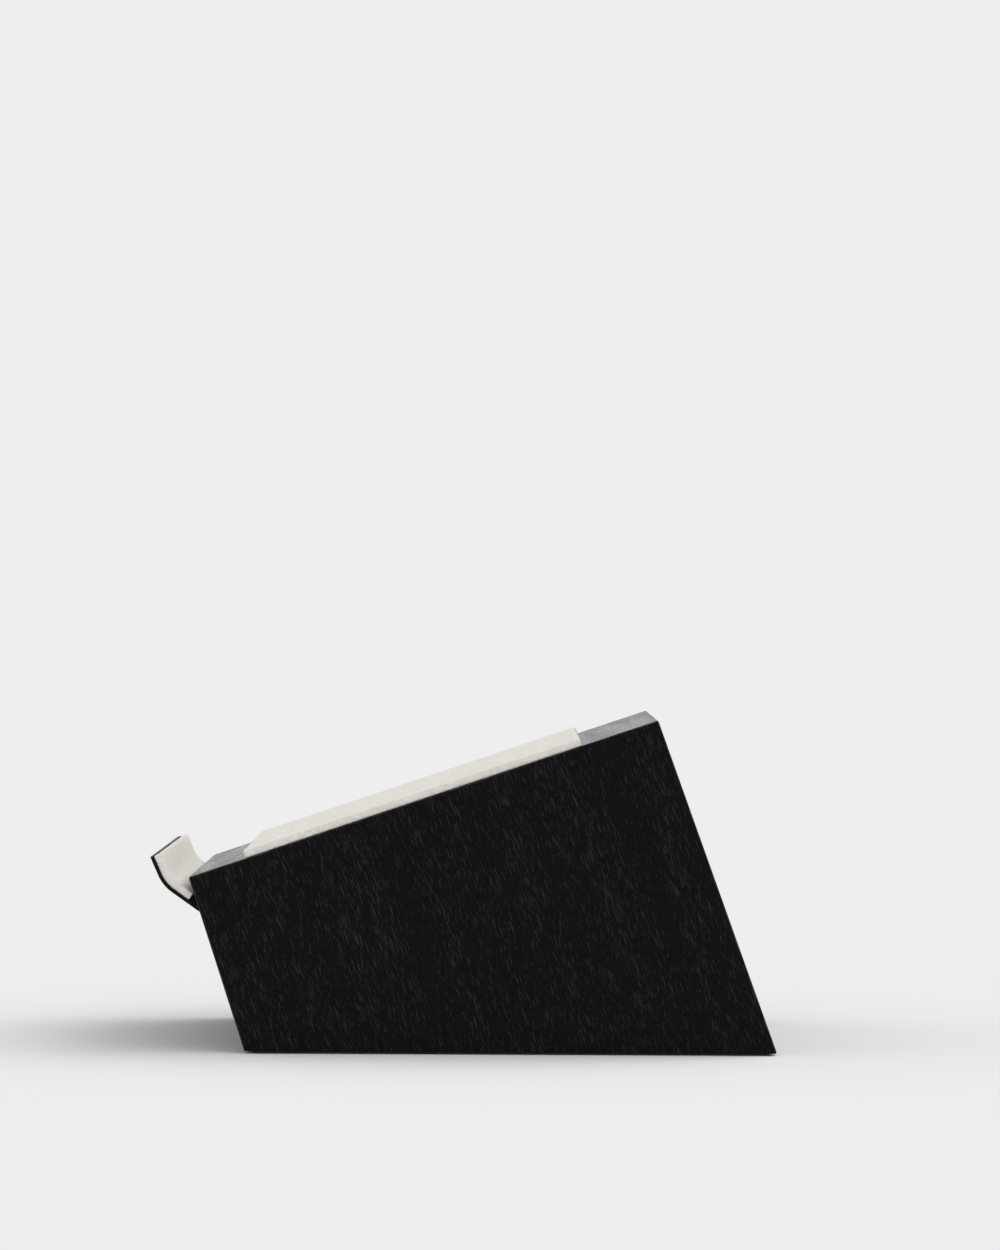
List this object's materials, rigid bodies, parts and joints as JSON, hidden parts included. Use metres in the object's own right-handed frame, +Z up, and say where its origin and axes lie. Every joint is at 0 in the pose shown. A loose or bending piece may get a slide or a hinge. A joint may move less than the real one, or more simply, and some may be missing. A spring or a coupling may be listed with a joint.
{
  "type": "laptop stand",
  "caption": "Wedge-shaped desk stand in black oak: a notebook lies on its sloping felt-padded top and a bent, felt-lined steel lip holds the front edge.",
  "frame": {"origin": "the middle of the overall box, on the surface that the stand rests on", "axes": "+X to the right as seen from the lip side, +Y from the lip towards the back, +Z up"},
  "size_m": [0.254, 0.2908, 0.1553],
  "materials": {
    "black_oak": "black-stained open-pored oak, satin oil",
    "plain_ply": "unfinished birch plywood",
    "plain_beech": "unfinished beech",
    "black_steel": "fine-textured matt black powder coat",
    "cream_felt": "pressed natural wool felt",
    "brown_base": "dark brown, fine-grained, matt",
    "zinc_screw": "bright zinc plate"
  },
  "bodies": {
    "root": {"side_panel_left": "black_oak", "side_panel_right": "black_oak", "top_panel": "black_oak", "front_panel": "black_oak", "back_panel": "black_oak", "bottom_panel": "plain_ply", "cleat_front": "plain_beech", "cleat_back": "plain_beech", "cleat_left": "plain_beech", "cleat_right": "plain_beech", "glue_block_top_front": "plain_beech", "glue_block_top_back": "plain_beech", "glue_block_top_left": "plain_beech", "glue_block_top_right": "plain_beech", "glue_block_front_left": "plain_beech", "glue_block_front_right": "plain_beech", "glue_block_back_left": "plain_beech", "glue_block_back_right": "plain_beech", "lip_plate": "black_steel", "lip_rail": "plain_beech", "lip_felt": "cream_felt", "top_felt": "cream_felt", "base_sheet": "brown_base", "bottom_screw_1": "zinc_screw", "bottom_screw_2": "zinc_screw", "bottom_screw_3": "zinc_screw", "bottom_screw_4": "zinc_screw", "bottom_screw_5": "zinc_screw", "bottom_screw_6": "zinc_screw", "bottom_screw_7": "zinc_screw", "bottom_screw_8": "zinc_screw", "lip_screw_1": "zinc_screw", "lip_screw_2": "zinc_screw", "lip_screw_3": "zinc_screw", "lip_screw_4": "zinc_screw"}
  },
  "joints": []
}
